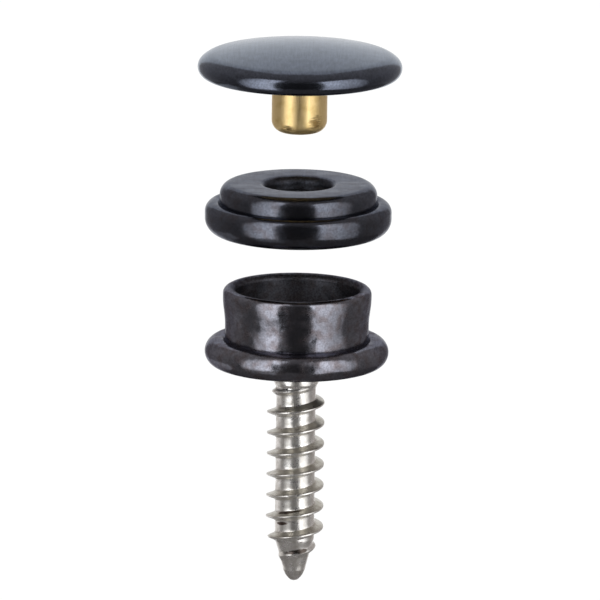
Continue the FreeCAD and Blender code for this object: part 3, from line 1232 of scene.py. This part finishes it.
def pitch_tent():
    """A sphere of felt with a flat floor, open at the back."""
    bpy.ops.object.select_all(action="DESELECT")
    bpy.ops.mesh.primitive_uv_sphere_add(
        segments=TENT_SEGMENTS, ring_count=TENT_SEGMENTS // 2, radius=TENT_RADIUS * MM
    )
    tent = bpy.context.object
    tent.name = "felt_tent"
    bpy.ops.object.mode_set(mode="EDIT")
    bpy.ops.mesh.select_all(action="SELECT")
    bpy.ops.mesh.bisect(
        plane_co=(0, 0, (screw_low.z - TENT_FLOOR) * MM),
        plane_no=(0, 0, 1),
        use_fill=True,
        clear_inner=True,
    )
    bpy.ops.mesh.select_all(action="DESELECT")
    mesh = bmesh.from_edit_mesh(tent.data)
    # The opening is all quads, and the floor is one face with many corners
    for face in mesh.faces:
        middle = face.calc_center_median()
        aside = abs(math.atan2(middle.x, middle.y))
        height = math.atan2(middle.z, math.hypot(middle.x, middle.y))
        if len(face.verts) == 4 and aside < OPENING_HALF_WIDTH and height < OPENING_HIGH:
            face.select_set(True)
    bmesh.update_edit_mesh(tent.data)
    bpy.ops.mesh.delete(type="FACE")
    bpy.ops.object.mode_set(mode="OBJECT")
    wear(tent, tent_cloth())
    for kind in "camera", "diffuse", "shadow", "volume_scatter":
        setattr(tent, "visible_" + kind, False)
    return tent


tent = pitch_tent()
print("tent faces:", len(tent.data.polygons))

# %% [markdown]
# ## The softboxes
#
# Two upright softboxes draw the highlights: a small one close by on the left and a large one
# further off on the right. Each is brightest on the side nearest the camera, so the highlights
# have a firm inner edge and fade outwards. The left one is dim below the stud, so it lights the
# neck and leaves the screw greyer. An area light's Parametric output runs from 0 to 1 across and
# up it, which is all that the fading needs. A dim card behind the screw's left side, too low to
# show in the black parts, keeps the steel from going dark there.

# %% Hanging a light
def hang_light(name, place, target, width, height, radiance):
    """A rectangular light at a place, turned towards its target, all in millimetres."""
    bpy.ops.object.light_add(type="AREA", location=place * MM)
    lamp = bpy.context.object
    lamp.name = name
    lamp.rotation_euler = (place - target).to_track_quat("Z", "Y").to_euler()
    lamp.data.shape = "RECTANGLE"
    lamp.data.size = width * MM
    lamp.data.size_y = height * MM
    lamp.data.energy = radiance * math.pi * width * MM * height * MM
    lamp.visible_camera = False
    return lamp


def hang_softbox(name, azimuth, distance, bottom, top, width, radiance):
    """An upright softbox beside the parts. Its azimuth counts from the camera's side."""
    turn = math.radians(azimuth)
    middle = Vector((0, 0, (bottom + top) / 2))
    place = middle + Vector((math.sin(turn), -math.cos(turn), 0)) * distance
    return hang_light(name, place, middle, width, top - bottom, radiance)


# %% The softboxes
# Name, azimuth from the camera's side in degrees, distance, bottom, top, width and radiance
SOFTBOXES = [
    ("left_softbox", -46, 40, -40, 85, 27, 3.4),
    ("right_softbox", 54, 185, -126, 262, 180, 3.4),
]
SCREW_CARD = ("screw_card", -125, 45, -36, -13, 55, 0.42)
# Share of the radiance at one side and at the other, then at the bottom, and the shares of the
# height at which the dim bottom ends and the full strength starts
SOFTBOX_SHADES = [(0.25, 1.0, 0.14, 0.18, 0.26), (1.0, 0.2, 0.6, 0.0, 0.6)]


def shade_softbox(lamp, start, end, bottom, bottom_end, full_start):
    """Let a softbox fade from one side to the other, and from its top towards its bottom."""
    lamp.data.use_nodes = True
    tree = lamp.data.node_tree
    tree.nodes.clear()
    place = add_node(tree, "ShaderNodeNewGeometry").outputs["Parametric"]
    parts = add_node(tree, "ShaderNodeSeparateXYZ", {"Vector": place}).outputs
    across = add_node(
        tree, "ShaderNodeMapRange", {"Value": parts["X"], "To Min": start, "To Max": end}
    )
    up = add_node(
        tree,
        "ShaderNodeMapRange",
        {
            "Value": parts["Y"],
            "From Min": bottom_end,
            "From Max": full_start,
            "To Min": bottom,
            "To Max": 1.0,
        },
    )
    strength = add_node(tree, "ShaderNodeMath", {0: across, 1: up}, operation="MULTIPLY")
    light = add_node(tree, "ShaderNodeEmission", {"Strength": strength})
    add_node(tree, "ShaderNodeOutputLight", {"Surface": light})


for softbox, shades in zip(SOFTBOXES, SOFTBOX_SHADES):
    lamp = hang_softbox(*softbox)
    shade_softbox(lamp, *shades)
    print(lamp.name)
print(hang_softbox(*SCREW_CARD).name)

# %% [markdown]
# ## The ceiling light and the world
#
# One very large light above and behind gives the paper and the parts their plain daylight. It
# is not mirrored, because the tent is what the metal sees.

# %% The ceiling light
CEILING_PLACE = Vector((0, 513, 1413))
CEILING_TARGET = Vector((0, 0, 4))
CEILING_SIZE = 4000
CEILING_RADIANCE = 1.8

ceiling = hang_light(
    "ceiling_light", CEILING_PLACE, CEILING_TARGET, CEILING_SIZE, CEILING_SIZE, CEILING_RADIANCE
)
ceiling.visible_glossy = False
print(ceiling.name)

# %% The world
def light_world():
    """A world that is white where a background is seen, and lights nothing."""
    world = bpy.data.worlds.new("white_studio")
    bpy.context.scene.world = world
    world.use_nodes = True
    tree = world.node_tree
    tree.nodes.clear()
    white = add_node(
        tree, "ShaderNodeBackground", {"Strength": only_background(tree), "Color": (1, 1, 1, 1)}
    )
    add_node(tree, "ShaderNodeOutputWorld", {"Surface": white})


light_world()
print("world:", bpy.context.scene.world.name)

# %% [markdown]
# ## The camera
#
# The photograph was taken from a little above with a long lens: round edges are flat ellipses,
# and the cap's far edge is barely smaller than its near one.

# %% The camera
LENS = 1000
SENSOR_WIDTH = 36
NEAREST, FARTHEST = 10, 10000
CAMERA_DISTANCE = 1232
CAMERA_ELEVATION = math.radians(12.5)
CAMERA_ROLL = math.radians(0.7)
AIM = Vector((0.207, 0, 4.896))


def place_camera():
    """Put the camera on the photograph's line of sight, far off with a long lens."""
    towards = Vector((0, -math.cos(CAMERA_ELEVATION), math.sin(CAMERA_ELEVATION)))
    bpy.ops.object.camera_add(location=(AIM + towards * CAMERA_DISTANCE) * MM)
    camera = bpy.context.object
    aimed = towards.to_track_quat("Z", "Y")
    camera.rotation_euler = (aimed @ Quaternion((0, 0, 1), CAMERA_ROLL)).to_euler()
    camera.data.lens = LENS
    camera.data.sensor_width = SENSOR_WIDTH
    camera.data.clip_start = NEAREST * MM
    camera.data.clip_end = FARTHEST * MM
    return camera


scene = bpy.context.scene
scene.camera = place_camera()
scene.view_settings.view_transform = "Standard"
print("camera at", [round(x / MM, 1) for x in scene.camera.location])
